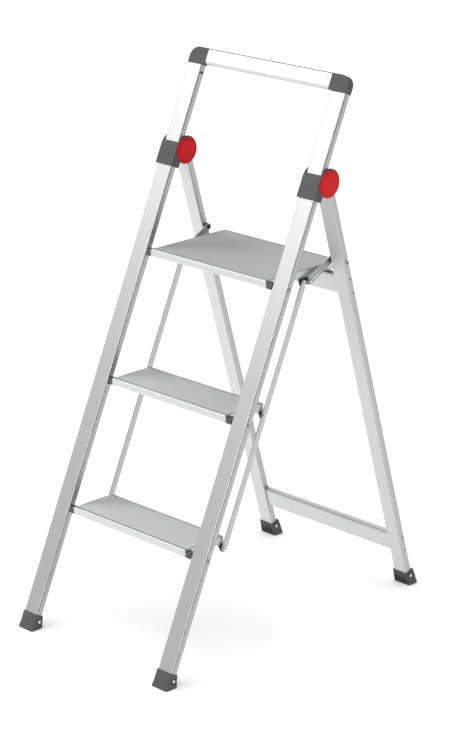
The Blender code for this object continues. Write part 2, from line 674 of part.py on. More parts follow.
def make_push_rod(name, side, carrier):
    """The flat bar that keeps both treads parallel to the platform."""
    end = (0, -2 * PIVOT_PITCH)
    outline = link_outline((0, 0), end, ROD_WIDTH / 2, ROD_WIDTH / 2, 8)
    bores = [circle((0, -PIVOT_PITCH * i), PIVOT_PIN_RADIUS + GAP) for i in range(3)]
    inner = side * ROD_INNER_X
    side_plate(name, [outline, *bores], inner, inner + side * ROD_THICKNESS, carrier)


def make_fold_arm(name, side, length, carrier):
    """The short flat link from the platform up to the rear stile, with a pin staked into its lower end."""
    outline = link_outline((0, 0), (length, 0), ARM_RADIUS, ARM_RADIUS)
    bore = circle((0, 0), PIVOT_PIN_RADIUS + GAP)
    outer_face = ARM_INNER_X + ARM_THICKNESS
    arm = as_mesh(side_plate(name, [outline, bore], side * ARM_INNER_X, side * outer_face, carrier))
    head = rod_along_x(f"{name}_pin_head", 0.0048, side * (outer_face - 0.001), side * (outer_face + 0.0016),
                       (length, 0), carrier)
    boolean(arm, head, "UNION")


def upright(start, tilt, place):
    """World Y and Z of a (Y, Z) place in axes that start at a world point and are tilted about X."""
    y, z = place
    return (start[0] + y * math.cos(tilt) - z * math.sin(tilt),
            start[1] + y * math.sin(tilt) + z * math.cos(tilt))


def main():
    global parts, cutters
    for obj in list(bpy.data.objects):
        bpy.data.objects.remove(obj)
    parts = bpy.data.collections.new("step_stool")
    cutters = bpy.data.collections.new("cutters")
    bpy.context.scene.collection.children.link(parts)
    bpy.context.scene.collection.children.link(cutters)

    floor_start = (FRONT_Y, 0)
    hinge = upright(floor_start, -FRONT_TILT, (HINGE_BACK, HINGE_UP))
    front = axes("front_frame_axes", (0, *floor_start), -FRONT_TILT)
    rear = axes("rear_frame_axes", (0, *hinge), REAR_TILT)
    pivots = [upright(floor_start, -FRONT_TILT, (PIVOT_BACK, up)) for up in PIVOT_UP]
    carriers = [axes(f"{name}_axes", (0, *pivot)) for name, pivot in
                zip(("bottom_tread", "middle_tread", "platform"), pivots)]

    make_front_frame(front)
    make_rear_frame(rear)
    make_treads(carriers)

    rod_pivot = (pivots[2][0] + ROD_BACK, pivots[2][1] - ROD_DROP)
    arm_pin = (pivots[2][0] + ARM_BACK, pivots[2][1] - ARM_DROP)
    arm_pivot = upright(hinge, REAR_TILT, ARM_PIVOT)
    span = Vector(arm_pin) - Vector(arm_pivot)
    for side_name, side in SIDES:
        rod = axes(f"push_rod_{side_name}_axes", (0, *rod_pivot), -FRONT_TILT)
        make_push_rod(f"push_rod_{side_name}", side, rod)
        arm = axes(f"fold_arm_{side_name}_axes", (0, *arm_pivot), math.atan2(span.y, span.x))
        make_fold_arm(f"fold_arm_{side_name}", side, span.length, arm)
    cutters.hide_render = True


main()
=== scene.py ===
import json
import math

import bmesh
import bpy
from mathutils import Matrix, Vector


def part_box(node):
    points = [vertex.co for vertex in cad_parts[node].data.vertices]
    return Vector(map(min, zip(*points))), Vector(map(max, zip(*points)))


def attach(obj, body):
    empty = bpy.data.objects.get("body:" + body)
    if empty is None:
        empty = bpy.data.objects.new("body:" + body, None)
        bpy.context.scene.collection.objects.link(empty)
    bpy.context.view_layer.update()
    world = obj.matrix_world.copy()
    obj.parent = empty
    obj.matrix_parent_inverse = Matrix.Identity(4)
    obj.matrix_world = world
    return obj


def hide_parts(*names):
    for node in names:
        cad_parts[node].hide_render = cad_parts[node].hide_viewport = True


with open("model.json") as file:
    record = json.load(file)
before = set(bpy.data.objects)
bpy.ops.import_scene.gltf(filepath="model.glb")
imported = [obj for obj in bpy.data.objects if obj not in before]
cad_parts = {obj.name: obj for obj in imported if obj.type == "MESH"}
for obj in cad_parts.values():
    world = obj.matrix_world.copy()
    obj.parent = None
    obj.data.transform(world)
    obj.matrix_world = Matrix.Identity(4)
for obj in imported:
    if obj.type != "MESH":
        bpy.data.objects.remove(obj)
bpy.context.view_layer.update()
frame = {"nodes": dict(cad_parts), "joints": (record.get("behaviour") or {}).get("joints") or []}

SIDES = (("left", -1), ("right", 1))
FACES = (("outer", 1), ("inner", -1))
FRONT_TILT = math.radians(24.1)
REAR_TILT = math.radians(16.4)


def joint_place(name):
    """A joint's world position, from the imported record."""
    for joint in frame["joints"]:
        if joint["name"] == name:
            return Vector(joint["pos_m"])
    raise ValueError(name)


# Axes of the two frames and of the treads: X across, Y to the back, Z up the stile
HINGE = joint_place("rear_frame_fold")
REAR_AXES = Matrix.Translation(HINGE) @ Matrix.Rotation(REAR_TILT, 4, "X")
HINGE_UP, HINGE_BACK = 1.0055, 0.0255
tilt_front = Matrix.Rotation(-FRONT_TILT, 4, "X")
FRONT_AXES = Matrix.Translation(HINGE - tilt_front @ Vector((0, HINGE_BACK, HINGE_UP))) @ tilt_front
TREAD_AXES = {
    "bottom_tread": Matrix.Translation(joint_place("bottom_tread_fold")),
    "middle_tread": Matrix.Translation(joint_place("middle_tread_fold")),
    "platform": Matrix.Translation(joint_place("platform_fold")),
}


# ------------------------------------------------------------------ materials

def socket(node, name, value):
    node.inputs[name].default_value = value


class Surface:
    """A Principled material that is put together step by step from procedural nodes."""

    def __init__(self, name, roughness, metallic, **extra):
        self.material = bpy.data.materials.new(name)
        self.material.use_nodes = True
        self.tree = self.material.node_tree
        self.shader = self.tree.nodes["Principled BSDF"]
        socket(self.shader, "Roughness", roughness)
        socket(self.shader, "Metallic", metallic)
        for key, value in extra.items():
            socket(self.shader, key.replace("_", " "), value)

    def node(self, kind, **settings):
        made = self.tree.nodes.new(kind)
        for key, value in settings.items():
            setattr(made, key, value)
        return made

    def link(self, source, target):
        self.tree.links.new(source, target)

    def noise(self, scale, detail, stretch=(1, 1, 1)):
        where = self.node("ShaderNodeTexCoord")
        mapping = self.node("ShaderNodeMapping")
        socket(mapping, "Scale", stretch)
        self.link(where.outputs["Object"], mapping.inputs["Vector"])
        noise = self.node("ShaderNodeTexNoise")
        socket(noise, "Scale", scale)
        socket(noise, "Detail", detail)
        self.link(mapping.outputs["Vector"], noise.inputs["Vector"])
        return noise.outputs["Fac"]

    def colour(self, fac, stops):
        """Base colour from a ramp of (place, colour) stops."""
        ramp = self.node("ShaderNodeValToRGB")
        elements = ramp.color_ramp.elements
        for element, (place, colour) in zip(elements, stops):
            element.position = place
            element.color = (*colour, 1)
        self.link(fac, ramp.inputs["Fac"])
        self.link(ramp.outputs["Color"], self.shader.inputs["Base Color"])

    def rough(self, fac, low, high):
        span = self.node("ShaderNodeMapRange")
        socket(span, "To Min", low)
        socket(span, "To Max", high)
        self.link(fac, span.inputs["Value"])
        self.link(span.outputs["Result"], self.shader.inputs["Roughness"])

    def bump(self, fac, distance, strength):
        bump = self.node("ShaderNodeBump")
        socket(bump, "Distance", distance)
        socket(bump, "Strength", strength)
        self.link(fac, bump.inputs["Height"])
        self.link(bump.outputs["Normal"], self.shader.inputs["Normal"])


def grey(value, tint=0.0):
    return (value * (1 - tint), value, value)


TINT = 0.014
# How the draw lines are stretched: along an upright tube, along a bar, on a short plate
UPRIGHT, CROSSWISE, PLATE = (18, 18, 0.15), (0.15, 18, 18), (1, 6, 1)


def drawn_aluminium(name, value, roughness, stretch):
    """Anodised extrusion: fine draw lines along the length, slow changes of tone, a satin sheen."""
    surface = Surface(name, roughness, 1.0)
    lines = surface.noise(60.0, 4.0, stretch)
    clouds = surface.noise(5.0, 2.0)
    tone = surface.node("ShaderNodeMix", data_type="FLOAT")
    socket(tone, "Factor", 0.35)
    surface.link(lines, tone.inputs["A"])
    surface.link(clouds, tone.inputs["B"])
    stops = [(0.25, grey(value * 0.95, TINT)), (0.75, grey(min(value * 1.03, 0.97), TINT))]
    surface.colour(tone.outputs["Result"], stops)
    surface.rough(lines, roughness - 0.05, roughness + 0.06)
    surface.bump(lines, 0.00004, 0.5)
    return surface.material


def moulded_plastic(name, colour, roughness, grain=900.0, depth=0.00005, gloss=0.38):
    """Injection-moulded plastic: a fine spark-eroded grain and faint flow marks."""
    surface = Surface(name, roughness, 0.0, Specular_IOR_Level=gloss)
    flow = surface.noise(35.0, 3.0)
    fine = surface.noise(grain, 2.0)
    dark = tuple(c * 0.88 for c in colour)
    light = tuple(c * 1.12 for c in colour)
    surface.colour(flow, [(0.3, dark), (0.7, light)])
    surface.rough(fine, roughness - 0.06, roughness + 0.08)
    surface.bump(fine, depth, 0.6)
    return surface.material


def zinc_steel(name, value, roughness):
    """Zinc-plated steel with faint turning marks."""
    surface = Surface(name, roughness, 1.0)
    spangle = surface.noise(400.0, 4.0)
    surface.colour(spangle, [(0.3, grey(value * 0.8)), (0.7, grey(value * 1.1))])
    surface.rough(spangle, roughness - 0.05, roughness + 0.1)
    surface.bump(spangle, 0.00003, 0.5)
    return surface.material


MAT = {
    "stile": drawn_aluminium("stile_aluminium", 0.54, 0.36, UPRIGHT),
    "rear_stile": drawn_aluminium("rear_stile_aluminium", 0.69, 0.56, UPRIGHT),
    # Painted shade: a dark copy of the stile aluminium for the rounded corners and grooves of the stiles and
    # push rods.
    "stile_edge_shade": drawn_aluminium("stile_edge_shade_aluminium", 0.10, 0.45, UPRIGHT),
    # Painted highlight: a bright copy for the front of the front stiles' corners; the lower roughness is real,
    # the brightness is a painted glint.
    "stile_painted_glint": drawn_aluminium("stile_painted_glint_aluminium", 0.95, 0.24, UPRIGHT),
    # Painted shade: a darker copy of the stile aluminium for the stiles' narrow sides; pins and a rivet cover
    # share its colour.
    "stile_side_shade": drawn_aluminium("stile_side_shade_aluminium", 0.45, 0.38, UPRIGHT),
    "bar": drawn_aluminium("bar_aluminium", 0.65, 0.36, CROSSWISE),
    # Painted shade: a dark copy for the edges and grooves of the rail and crossbars, the tread slots and the
    # fold arms' edges.
    "bar_edge_shade": drawn_aluminium("bar_edge_shade_aluminium", 0.10, 0.45, CROSSWISE),
    # Painted shade: a darker copy of the rear stile aluminium for its rounded corners.
    "rear_edge_shade": drawn_aluminium("rear_edge_shade_aluminium", 0.50, 0.42, UPRIGHT),
    "tread": drawn_aluminium("tread_aluminium", 0.54, 0.42, CROSSWISE),
    "platform": drawn_aluminium("platform_aluminium", 0.44, 0.42, CROSSWISE),
    "arm": drawn_aluminium("arm_aluminium", 0.46, 0.42, PLATE),
    "nosing": drawn_aluminium("nosing_aluminium", 0.61, 0.34, CROSSWISE),
    "plate": drawn_aluminium("plate_aluminium", 0.60, 0.40, PLATE),
    "rod": drawn_aluminium("rod_aluminium", 0.52, 0.38, (18, 18, 0.2)),
    "rivet": drawn_aluminium("rivet_aluminium", 0.85, 0.30, (1, 1, 1)),
    "steel": zinc_steel("zinc_steel", 0.40, 0.35),
    "grey": moulded_plastic("grey_plastic", (0.068, 0.068, 0.070), 0.48),
    "black": moulded_plastic("black_plastic", (0.014, 0.014, 0.016), 0.42),
    "front_shoe": moulded_plastic("front_shoe_rubber", (0.080, 0.080, 0.082), 0.60, 700.0, 0.00008),
    "rear_shoe": moulded_plastic("rear_shoe_rubber", (0.062, 0.062, 0.064), 0.60, 700.0, 0.00008),
    "red": moulded_plastic("red_plastic", (0.56, 0.003, 0.006), 0.38, 500.0, 0.00002, 0.16),
}


# ------------------------------------------------------------------ building

BEVEL_ANGLE = math.radians(35)


def refine(obj, bevel, segments):
    """Rounded edges and clean shading on top of a mesh."""
    if bevel:
        edge = obj.modifiers.new("edges", "BEVEL")
        edge.width = bevel
        edge.segments = segments
        edge.limit_method = "ANGLE"
        edge.angle_limit = BEVEL_ANGLE
        edge.use_clamp_overlap = True
    normals = obj.modifiers.new("normals", "WEIGHTED_NORMAL")
    normals.keep_sharp = True
    normals.weight = 60


def piece(name, mesh, axes, material, body, nodes=(), bevel=0.0, segments=3, sharp=40):
    """A finished piece, in the axes of its frame, that rides on a body and may stand for CAD nodes."""
    bmesh.ops.recalc_face_normals(mesh, faces=mesh.faces)
    data = bpy.data.meshes.new(name)
    mesh.to_mesh(data)
    mesh.free()
    obj = bpy.data.objects.new(name, data)
    bpy.context.scene.collection.objects.link(obj)
    obj.matrix_world = axes
    data.shade_smooth()
    data.set_sharp_from_angle(angle=math.radians(sharp))
    data.materials.append(material)
    refine(obj, bevel, segments)
    bpy.context.view_layer.update()
    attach(obj, body)
    if nodes:
        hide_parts(*nodes)
    return obj


FLAT = 0.97
# Corner faces that face this far forward get the painted highlight.
PAINTED_GLINT_TURN = -0.78


def paint_edge_shade(obj, material, above=-math.inf):
    """Rounded corners and grooves, material 1, are coloured darker than the flat faces between them: painted
    shade along the edges and in the grooves.
    """
    obj.data.materials.append(material)
    for face in obj.data.polygons:
        if max(abs(part) for part in face.normal) < FLAT and face.center.z > above:
            face.material_index = 1


def paint_side_shade_and_glint(obj, side_shade_material, painted_glint_material=None):
    """A stile's narrow sides, material 2, get painted shade; the front of its front corners, 3, can get a
    smoother finish whose brighter colour is a painted highlight.
    """
    obj.data.materials.append(side_shade_material)
    if painted_glint_material:
        obj.data.materials.append(painted_glint_material)
    for face in obj.data.polygons:
        if abs(face.normal.x) > FLAT:
            face.material_index = 2
        elif painted_glint_material and face.material_index == 1 and face.normal.y < PAINTED_GLINT_TURN:
            face.material_index = 3


def arc(cx, cy, radius, start, end, steps):
    """Points on a circle from one angle to another, in degrees."""
    points = []
    for i in range(steps + 1):
        a = math.radians(start + (end - start) * i / steps)
        points.append((cx + radius * math.cos(a), cy + radius * math.sin(a)))
    return points


def rounded_outline(x0, x1, y0, y1, radii, steps=6):
    """A box outline, counter-clockwise from lower right, with a radius for each corner."""
    points = []
    corners = ((x1, y0, -1, 1, -90), (x1, y1, -1, -1, 0), (x0, y1, 1, -1, 90), (x0, y0, 1, 1, 180))
    for (x, y, sx, sy, start), radius in zip(corners, radii):
        points += arc(x + sx * radius, y + sy * radius, radius, start, start + 90, steps)
    return points


def prism(mesh, outline, low, high, place):
    """Fill an outline and carry it from low to high. place puts (u, v, w) into the piece's axes."""
    bottom = [mesh.verts.new(place(u, v, low)) for u, v in outline]
    top = [mesh.verts.new(place(u, v, high)) for u, v in outline]
    mesh.faces.new(bottom[::-1])
    mesh.faces.new(top)
    count = len(outline)
    for i in range(count):
        j = (i + 1) % count
        mesh.faces.new((bottom[i], bottom[j], top[j], top[i]))


def along_x(u, v, w):
    return (w, u, v)


def along_y(u, v, w):
    return (u, w, v)


def along_z(u, v, w):
    return (u, v, w)


def lathe(mesh, profile, centre, steps, side):
    """Turn a profile of (radius, X) about an axis along X through a (Y, Z) centre."""
    rings = []
    for radius, x in profile:
        if radius == 0:
            rings.append([mesh.verts.new((side * x, *centre))])
            continue
        ring = []
        for i in range(steps):
            a = 2 * math.pi * i / steps
            y, z = centre[0] + radius * math.cos(a), centre[1] + radius * math.sin(a)
            ring.append(mesh.verts.new((side * x, y, z)))
        rings.append(ring)
    for first, second in zip(rings, rings[1:]):
        for i in range(steps):
            j = (i + 1) % steps
            if len(first) == 1:
                mesh.faces.new((first[0], second[j], second[i]))
            elif len(second) == 1:
                mesh.faces.new((first[i], first[j], second[0]))
            else:
                mesh.faces.new((first[i], first[j], second[j], second[i]))


ON_LINE = 0.00001


def grooved(points, grooves):
    """Cut small grooves into an outline's straight runs. Each is (middle, half width, depth as a vector)."""
    result = []
    count = len(points)
    for i, point in enumerate(points):
        result.append(point)
        following = points[(i + 1) % count]
        cuts = []
        for middle, half, push in grooves:
            a, b = Vector(point), Vector(following)
            run = b - a
            if run.length < 4 * half:
                continue
            along = (Vector(middle) - a).dot(run) / run.length
            off = (Vector(middle) - a - run.normalized() * along).length
            if off < ON_LINE and half < along < run.length - half:
                cuts.append((along, half, push, run.normalized(), a))
        for along, half, push, way, a in sorted(cuts, key=lambda cut: cut[0]):
            inward = Vector(push)
            for share, depth in ((-1, 0), (-0.6, 1), (0.6, 1), (1, 0)):
                spot = a + way * (along + half * share) + inward * depth
                result.append((spot.x, spot.y))
    return result


# ------------------------------------------------------------------ front frame

stile_low, stile_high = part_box("front_stile_right")
INNER_X, HALF_WIDTH = stile_low[0], stile_high[0]
STILE_X = (INNER_X + HALF_WIDTH) / 2
STILE_HALF = (HALF_WIDTH - INNER_X) / 2
REAR_HALF = 0.0175
DEPTH = 0.015
STILE_START = 0.0065
STILE_ROUND = 0.0032
GAP = 0.0003

RAIL_TOP = 1.2090
RAIL_ROUNDS = (0.0026, 0.0026, 0.0026, 0.0065)
CORNER_LOW = RAIL_TOP - 0.0345
CORNER_SHOULDER = CORNER_LOW + 0.002
CORNER_REACH = 0.008
CORNER_BEND = 0.021
CORNER_PROUD = 0.0005

CHEEK_WIDTH = 0.0032
DISC_RADIUS = 0.0265
DISC_THICKNESS = 0.0022
DISC_DOME = 0.0004
DISC_RIM = 0.0015
# The fine ring in a disc's face: radius, depth below the crown
DISC_RING = ((0.0222, 0.0003), (0.0224, 0.0008), (0.0230, 0.0008), (0.0232, 0.0003))

GROOVE_BELOW_TOP = 0.0045
SIDE_GROOVE = 0.0005


def stile_outline(x, half, front):
    """The section of a stile that stands at X, with soft corners."""
    return [(u + x, v + front) for u, v in rounded_outline(-half, half, 0, DEPTH, (STILE_ROUND,) * 4)]


def side_groove(y, top, way):
    """A groove near the top of a bar's upright face, cut in towards +Y or -Y."""
    return (y, top - GROOVE_BELOW_TOP), SIDE_GROOVE, (way * SIDE_GROOVE, 0)


def top_groove(y, top, size):
    """A groove along a bar's top face."""
    return (y, top), size, (0, -size)


def build_front_frame():
    for name, side in SIDES:
        mesh = bmesh.new()
        prism(mesh, stile_outline(side * STILE_X, STILE_HALF, 0), STILE_START, CORNER_LOW, along_z)
        tube = piece(f"front_stile_{name}_tube", mesh, FRONT_AXES, MAT["stile"],
                     "front_frame", [f"front_stile_{name}"])
        # Painted shade on the corners and grooves and on the narrow sides, and a painted highlight on the front
        # of the corners.
        paint_edge_shade(tube, MAT["stile_edge_shade"])
        paint_side_shade_and_glint(tube, MAT["stile_side_shade"], MAT["stile_painted_glint"])
        build_top_corner(name, side)
        build_hinge_caps(name, side)
        build_shoe("front", name, side, FRONT_SHOE, FRONT_AXES.translation.y, 0.0042)
    build_hand_rail()


def build_hand_rail():
    section = rounded_outline(0, DEPTH, CORNER_SHOULDER, RAIL_TOP, RAIL_ROUNDS, 8)
    section = grooved(section, [side_groove(0, RAIL_TOP, 1), top_groove(DEPTH / 2, RAIL_TOP, 0.0006)])
    half = INNER_X - CORNER_REACH - GAP
    mesh = bmesh.new()
    prism(mesh, section, -half, half, along_x)
    rail = piece("hand_rail_tube", mesh, FRONT_AXES, MAT["bar"], "front_frame",
                 ["top_rail"])
    # Painted shade on the rail's upper edges and grooves.
    paint_edge_shade(rail, MAT["bar_edge_shade"], above=CORNER_SHOULDER + 0.0070)


def build_top_corner(name, side):
    """An elbow with a full round over its outer edge."""
    outer = HALF_WIDTH + CORNER_PROUD
    inner = INNER_X - CORNER_REACH
    low = CORNER_LOW + GAP
    points = [(INNER_X, low), (outer, low)]
    points += arc(outer - CORNER_BEND, RAIL_TOP - CORNER_BEND, CORNER_BEND, 0, 90, 14)
    points += [(inner, RAIL_TOP), (inner, CORNER_SHOULDER), (INNER_X, CORNER_SHOULDER)]
    mesh = bmesh.new()
    prism(mesh, [(side * x, z) for x, z in points], -CORNER_PROUD, DEPTH + CORNER_PROUD, along_y)
    piece(f"top_corner_{name}_elbow", mesh, FRONT_AXES, MAT["grey"], "front_frame",
          [f"top_corner_{name}"], bevel=0.0034, segments=6)


def build_hinge_caps(name, side):
    """Red discs: a shallow dome, a fine ring groove and a rounded rim."""
    face = STILE_HALF + GAP + CHEEK_WIDTH + GAP
    crown = face + DISC_THICKNESS
    profile = [(0, crown)]
    profile += [(DISC_RADIUS * t, crown - DISC_DOME * t * t) for t in (0.2, 0.4, 0.6, 0.8)]
    profile += [(radius, crown - deep) for radius, deep in DISC_RING]
    for a in (0, 22, 45, 67, 90):
        turn = math.radians(a)
        profile.append((DISC_RADIUS - DISC_RIM + DISC_RIM * math.sin(turn),
                        crown - DISC_DOME - DISC_RIM + DISC_RIM * math.cos(turn)))
    profile += [(DISC_RADIUS, face), (0, face)]
    for where, way in FACES:
        mesh = bmesh.new()
        lathe(mesh, profile, (HINGE_BACK, HINGE_UP), 72, side * way)
        bmesh.ops.translate(mesh, vec=(side * STILE_X, 0, 0), verts=mesh.verts)
        piece(f"hinge_disc_{name}_{where}", mesh, FRONT_AXES, MAT["red"], "front_frame",
              [f"hinge_cap_{name}_{where}"], sharp=50)


# ------------------------------------------------------------------ shoes

SHOE_RIBS = 6
SHOE_RIB_MARGIN = 0.0015
DEEP_RIBS = 0.001
# One rib: share of the ribs' spacing, share of the rib depth
SHOE_RIB = ((0.10, 0), (0.18, 1), (0.50, 1), (0.58, 0))
QUARTER_TURN = [math.radians(a) for a in (0, 30, 60, 90)]
# Levels from the floor up: front y, back y, front z, back z, inset from the full width, rib depth
FRONT_SHOE = (
    (-0.0017, 0.0267, 0.0000, 0.0000, 0.0006, 0.0002),
    (-0.0025, 0.0275, 0.0008, 0.0008, 0.0000, 0.0002),
    (0.0002, 0.0284, 0.0065, 0.0062, 0.0000, 0.0002),
    (0.0010, 0.0285, 0.0080, 0.0075, 0.0008, 0.0002),
    (0.0117, 0.0303, 0.0310, 0.0238, 0.0004, 0.0002),
    (0.0129, 0.0300, 0.0325, 0.0245, 0.0012, 0.0000),
)
REAR_SHOE = (
    (-0.0026, 0.0230, 0.0000, 0.0000, 0.0006, 0.0020),
    (-0.0030, 0.0235, 0.0008, 0.0008, 0.0000, 0.0020),
    (-0.0042, 0.0210, 0.0062, 0.0068, 0.0000, 0.0020),
    (-0.0071, 0.0154, 0.0188, 0.0218, 0.0003, 0.0020),
    (-0.0072, 0.0152, 0.0192, 0.0223, 0.0003, 0.0000),
    (-0.0080, 0.0137, 0.0222, 0.0260, 0.0008, 0.0000),
    (-0.0092, 0.0114, 0.0268, 0.0322, 0.0006, 0.0000),
    (-0.0090, 0.0106, 0.0285, 0.0340, 0.0012, 0.0000),
)


def half_width(node):
    low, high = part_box(node)
    return (high[0] - low[0]) / 2


def ribbed_edge(half, corner, rib_depth):
    """A shoe's front edge seen from above, from -X to +X: ribs between two rounded corners."""
    usable = half - corner - SHOE_RIB_MARGIN
    step = 2 * usable / SHOE_RIBS
    plan = [(-half + corner * (1 - math.cos(a)), corner * (1 - math.sin(a))) for a in QUARTER_TURN]
    for i in range(SHOE_RIBS):
        left = -usable + step * i
        plan += [(left + step * across, rib_depth * deep) for across, deep in SHOE_RIB]
    plan += [(half - corner * (1 - math.sin(a)), corner * (1 - math.cos(a))) for a in QUARTER_TURN]
    return plan


def build_shoe(stem, name, side, levels, axes_y, corner):
    """Loft a shoe from the floor up; the recesses between deep ribs are coloured black as painted shade."""
    full = half_width(f"{stem}_foot_{name}")
    mesh = bmesh.new()
    rings = []
    for front, back, z_front, z_back, inset, rib_depth in levels:
        depth = back - front
        edge = ribbed_edge(full - inset, corner, rib_depth)
        ring = []
        for x, y in edge + [(-x, depth - y) for x, y in edge]:
            z = z_front + (z_back - z_front) * (y / depth)
            ring.append(mesh.verts.new((side * STILE_X + x, front + y, z)))
        rings.append(ring)
    for low, high, level in zip(rings, rings[1:], levels[1:]):
        deep = level[-1] > DEEP_RIBS
        for i in range(len(low)):
            j = (i + 1) % len(low)
            wall = mesh.faces.new((low[i], low[j], high[j], high[i]))
            place = i % len(edge) - len(QUARTER_TURN)
            # Walls of deep rib recesses take the black material: painted shade.
            if deep and 0 <= place < len(SHOE_RIB) * SHOE_RIBS and place % len(SHOE_RIB) != 3:
                wall.material_index = 1
    mesh.faces.new(rings[0][::-1])
    mesh.faces.new(rings[-1])
    shoe = piece(f"{stem}_shoe_{name}", mesh, Matrix.Translation((0, axes_y, 0)), MAT[f"{stem}_shoe"],
                 f"{stem}_frame", [f"{stem}_foot_{name}"], sharp=25)
    # Black for the rib recesses: painted shade.
    shoe.data.materials.append(MAT["black"])


# ------------------------------------------------------------------ rear frame

REAR_FACE = 0.0005
REAR_STILE_DROP = 0.012
REAR_FLOOR = -HINGE.z / math.cos(REAR_TILT)
CROSSBARS = (("upper", 0.2096), ("lower", 0.8252))
CROSSBAR_HEIGHT = 0.0425
CROSSBAR_FRONT, CROSSBAR_REAR = 0.004, 0.0155
CROSSBAR_HALF_LENGTH = 0.1742
CROSSBAR_ROUND = 0.0018


def build_rear_frame():
    foot = REAR_AXES @ Vector((0, REAR_FACE, 0))
    shoe_y = foot.y + foot.z * math.tan(REAR_TILT)
    for name, side in SIDES:
        mesh = bmesh.new()
        outline = stile_outline(side * STILE_X, REAR_HALF, REAR_FACE)
        prism(mesh, outline, REAR_FLOOR + STILE_START, -REAR_STILE_DROP, along_z)
        tube = piece(f"rear_stile_{name}_tube", mesh, REAR_AXES, MAT["rear_stile"],
                     "rear_frame", [f"rear_stile_{name}"])
        # Painted shade on the rear stiles' corners and narrow sides.
        paint_edge_shade(tube, MAT["rear_edge_shade"])
        paint_side_shade_and_glint(tube, MAT["stile_side_shade"])
        build_shoe("rear", name, side, REAR_SHOE, shoe_y, 0.0030)
    for which, drop in CROSSBARS:
        top = -drop
        section = rounded_outline(CROSSBAR_FRONT, CROSSBAR_REAR, top - CROSSBAR_HEIGHT, top,
                                  (CROSSBAR_ROUND,) * 4)
        section = grooved(section, [side_groove(CROSSBAR_FRONT, top, 1), top_groove(0.0092, top, 0.0007),
                                    side_groove(CROSSBAR_REAR, top, -1)])
        mesh = bmesh.new()
        prism(mesh, section, -CROSSBAR_HALF_LENGTH, CROSSBAR_HALF_LENGTH, along_x)
        bar = piece(f"{which}_crossbar_profile", mesh, REAR_AXES, MAT["bar"],
                    "rear_frame", [f"{which}_crossbar"])
        # Painted shade on the crossbar's edges and grooves.
        paint_edge_shade(bar, MAT["bar_edge_shade"])


# ------------------------------------------------------------------ treads

FLANGES = {"bottom_tread": (0.040,), "middle_tread": (0.040,), "platform": (0.045, 0.100, 0.174)}
FLANGE_DEPTH = 0.015
FLANGE_SHEET = 0.0022
DECK_SHEET = 0.0026
NOSING_DEPTH = 0.0143
NOSING_ROUND = 0.0024
NOSING_BACK = 0.0045
RIB_START = 0.0078
RIB_PITCH = 0.0025
RIB_HEIGHT = 0.0003
SLOT_FRONT, SLOT_REAR, SLOT_DEPTH = 0.0042, 0.0062, 0.0016
# A groove along the nosing: distance behind its front, height above its lower edge
NOSING_GROOVE = ((0, 0.0052), (0.0005, 0.0056), (0.0005, 0.0060), (0, 0.0064))
# One rib of the deck: share of the pitch from its middle, depth below the top
RIB = ((-0.32, RIB_HEIGHT), (-0.16, 0), (0.16, 0), (0.32, RIB_HEIGHT))
# The rear lip: distance in front of the rear edge, depth below the top
REAR_LIP = ((0.0015, RIB_HEIGHT), (0.0005, 0.0007), (0, 0.0018), (0, FLANGE_DEPTH),
            (FLANGE_SHEET, FLANGE_DEPTH))


def tread_outline(top, front, depth, flanges):
    """A tread's section: grooved nosing, finely ribbed top, rear lip and the flanges below."""
    rear = front + depth
    under = top - DECK_SHEET
    low = top - NOSING_DEPTH
    points = [(front, low)]
    points += [(front + back, low + up) for back, up in NOSING_GROOVE]
    points.append((front, top - NOSING_ROUND))
    for a in (22, 45, 68, 90):
        turn = math.radians(a)
        points.append((front + NOSING_ROUND - NOSING_ROUND * math.cos(turn),
                       top - NOSING_ROUND + NOSING_ROUND * math.sin(turn)))
    points += [(front + SLOT_FRONT, top), (front + SLOT_FRONT + 0.0002, top - SLOT_DEPTH),
               (front + SLOT_REAR - 0.0002, top - SLOT_DEPTH), (front + SLOT_REAR, top - RIB_HEIGHT)]
    for i in range(int((depth - 0.012) / RIB_PITCH)):
        middle = front + RIB_START + RIB_PITCH * i
        points += [(middle + RIB_PITCH * share, top - below) for share, below in RIB]
    points += [(rear - ahead, top - below) for ahead, below in REAR_LIP]
    points.append((rear - FLANGE_SHEET, under))
    for place in sorted(flanges, reverse=True):
        behind, before = place + FLANGE_SHEET / 2, place - FLANGE_SHEET / 2
        points += [(behind, under), (behind, top - FLANGE_DEPTH), (before, top - FLANGE_DEPTH), (before, under)]
    points += [(front + DECK_SHEET, under), (front + DECK_SHEET, low)]
    return points


def build_treads():
    """Three decks, each with a bright nosing, material 1, and a slot behind it, material 2, coloured dark as
    painted shade.
    """
    for name, flanges in FLANGES.items():
        low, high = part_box(name)
        pivot = TREAD_AXES[name].translation
        front = low[1] - pivot.y
        top = high[2] - pivot.z
        mesh = bmesh.new()
        prism(mesh, tread_outline(top, front, high[1] - low[1], flanges), low[0], high[0], along_x)
        top_material = MAT["platform" if name == "platform" else "tread"]
        obj = piece(f"{name}_deck", mesh, TREAD_AXES[name], top_material, f"{name}_body",
                    [name], sharp=25)
        obj.data.materials.append(MAT["nosing"])
        obj.data.materials.append(MAT["bar_edge_shade"])
        for face in obj.data.polygons:
            back, below = face.center.y - front, top - face.center.z
            outward = face.normal.y < -0.2 or face.normal.z > 0.9
            # The slot's faces take the dark material: painted shade in the slot.
            if SLOT_FRONT < back < SLOT_REAR and 0.0002 < below < SLOT_DEPTH + 0.0001:
                face.material_index = 2
            elif back < NOSING_BACK and outward:
                face.material_index = 1


# ------------------------------------------------------------------ rivets and pin centres

